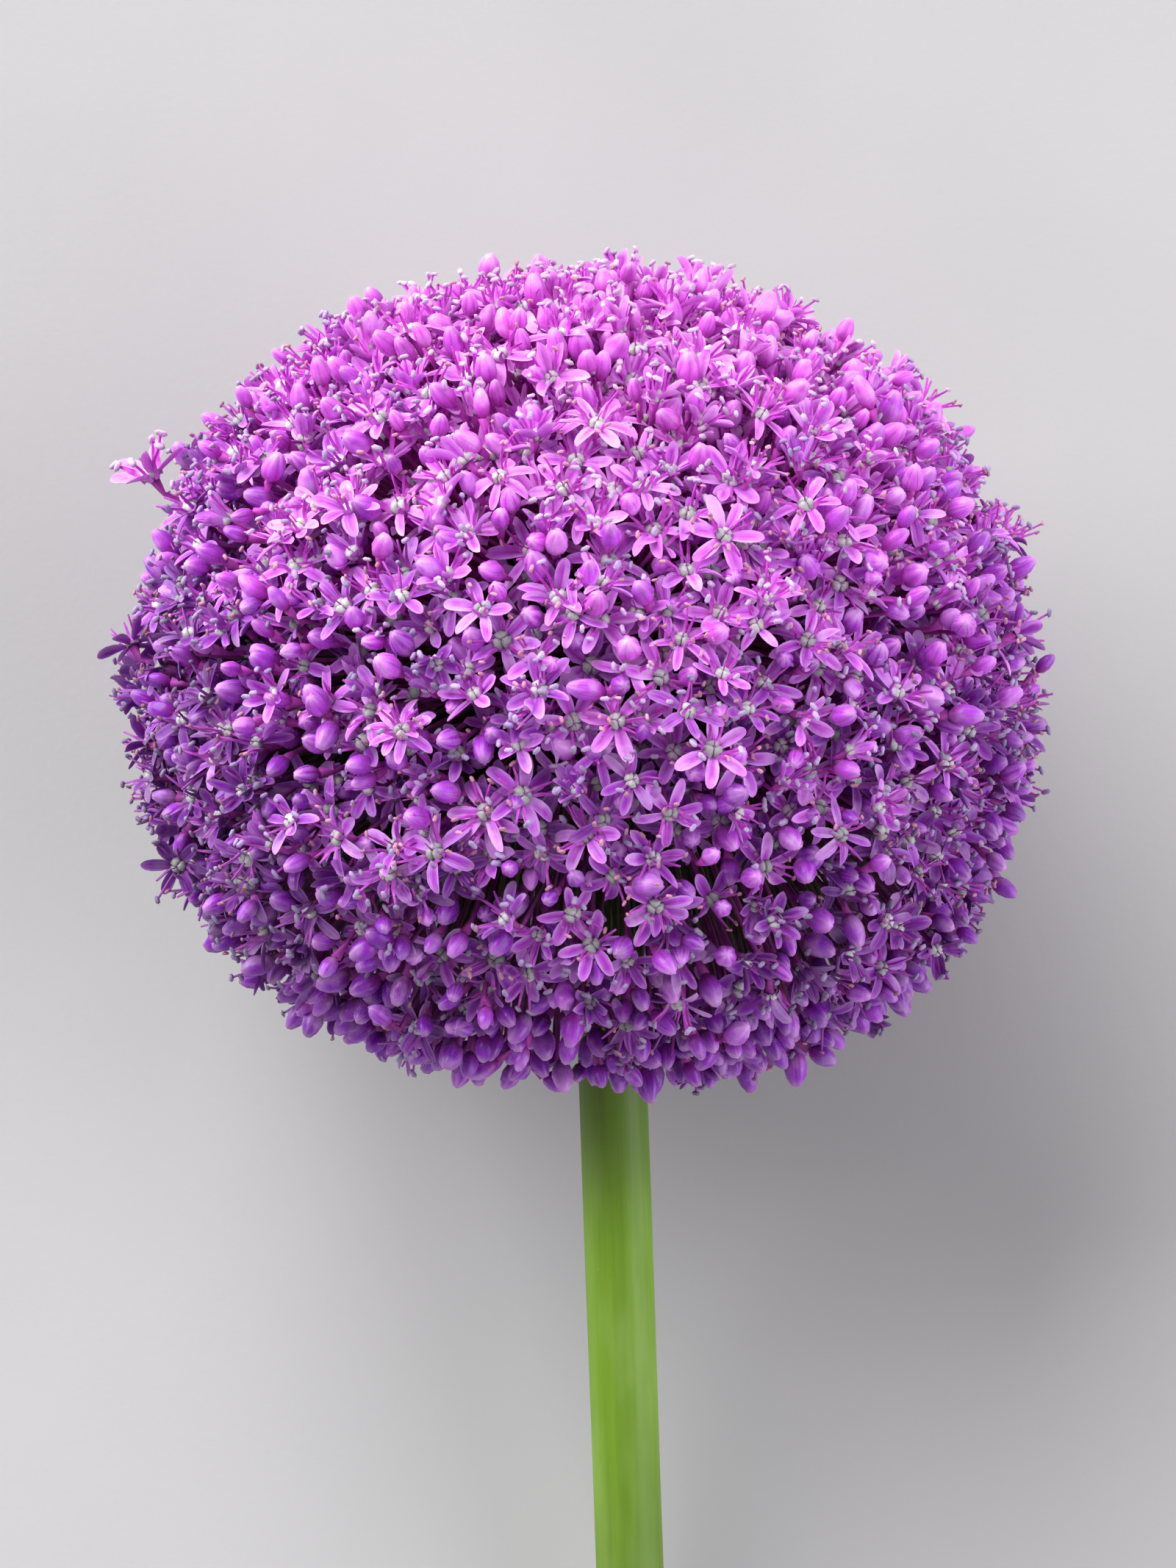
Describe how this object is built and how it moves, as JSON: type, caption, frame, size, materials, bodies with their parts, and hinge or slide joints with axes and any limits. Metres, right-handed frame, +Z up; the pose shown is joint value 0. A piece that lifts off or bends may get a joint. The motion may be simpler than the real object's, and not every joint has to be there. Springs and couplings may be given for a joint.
{
  "type": "allium flower head",
  "caption": "Cut allium flower head lying on its side: a dense round umbel of star-shaped violet florets and buds on thin pedicels, on a short length of green scape.",
  "frame": {"origin": "middle of the footprint, on the surface that the flower lies on", "axes": "+Z up; the scape's cut end points to -Y and down, the umbel is at +Y; +X is to the right of someone looking down on it with the umbel at the top"},
  "size_m": [0.1296, 0.2172, 0.1251],
  "materials": {
    "scape": "satin",
    "tepals": "satin"
  },
  "bodies": {
    "root": {"scape": "scape", "floret_cyme_01": "tepals", "floret_cyme_02": "tepals", "floret_cyme_03": "tepals", "floret_cyme_04": "tepals", "floret_cyme_05": "tepals", "floret_cyme_06": "tepals", "floret_cyme_07": "tepals", "floret_cyme_08": "tepals", "floret_cyme_09": "tepals", "floret_cyme_10": "tepals", "floret_cyme_11": "tepals", "floret_cyme_12": "tepals", "floret_cyme_13": "tepals", "floret_cyme_14": "tepals", "floret_cyme_15": "tepals", "floret_cyme_16": "tepals", "floret_cyme_17": "tepals", "floret_cyme_18": "tepals", "floret_cyme_19": "tepals", "floret_cyme_20": "tepals", "floret_cyme_21": "tepals", "floret_cyme_22": "tepals", "floret_cyme_23": "tepals", "floret_cyme_24": "tepals", "floret_cyme_25": "tepals", "floret_cyme_26": "tepals", "floret_cyme_27": "tepals", "floret_cyme_28": "tepals", "floret_cyme_29": "tepals", "floret_cyme_30": "tepals", "floret_cyme_31": "tepals", "floret_cyme_32": "tepals", "floret_cyme_33": "tepals", "floret_cyme_34": "tepals", "floret_cyme_35": "tepals", "floret_cyme_36": "tepals", "floret_cyme_37": "tepals", "floret_cyme_38": "tepals", "floret_cyme_39": "tepals", "floret_cyme_40": "tepals", "floret_cyme_41": "tepals", "floret_cyme_42": "tepals", "floret_cyme_43": "tepals", "floret_cyme_44": "tepals", "floret_cyme_45": "tepals", "floret_cyme_46": "tepals", "floret_cyme_47": "tepals", "floret_cyme_48": "tepals"}
  },
  "joints": []
}
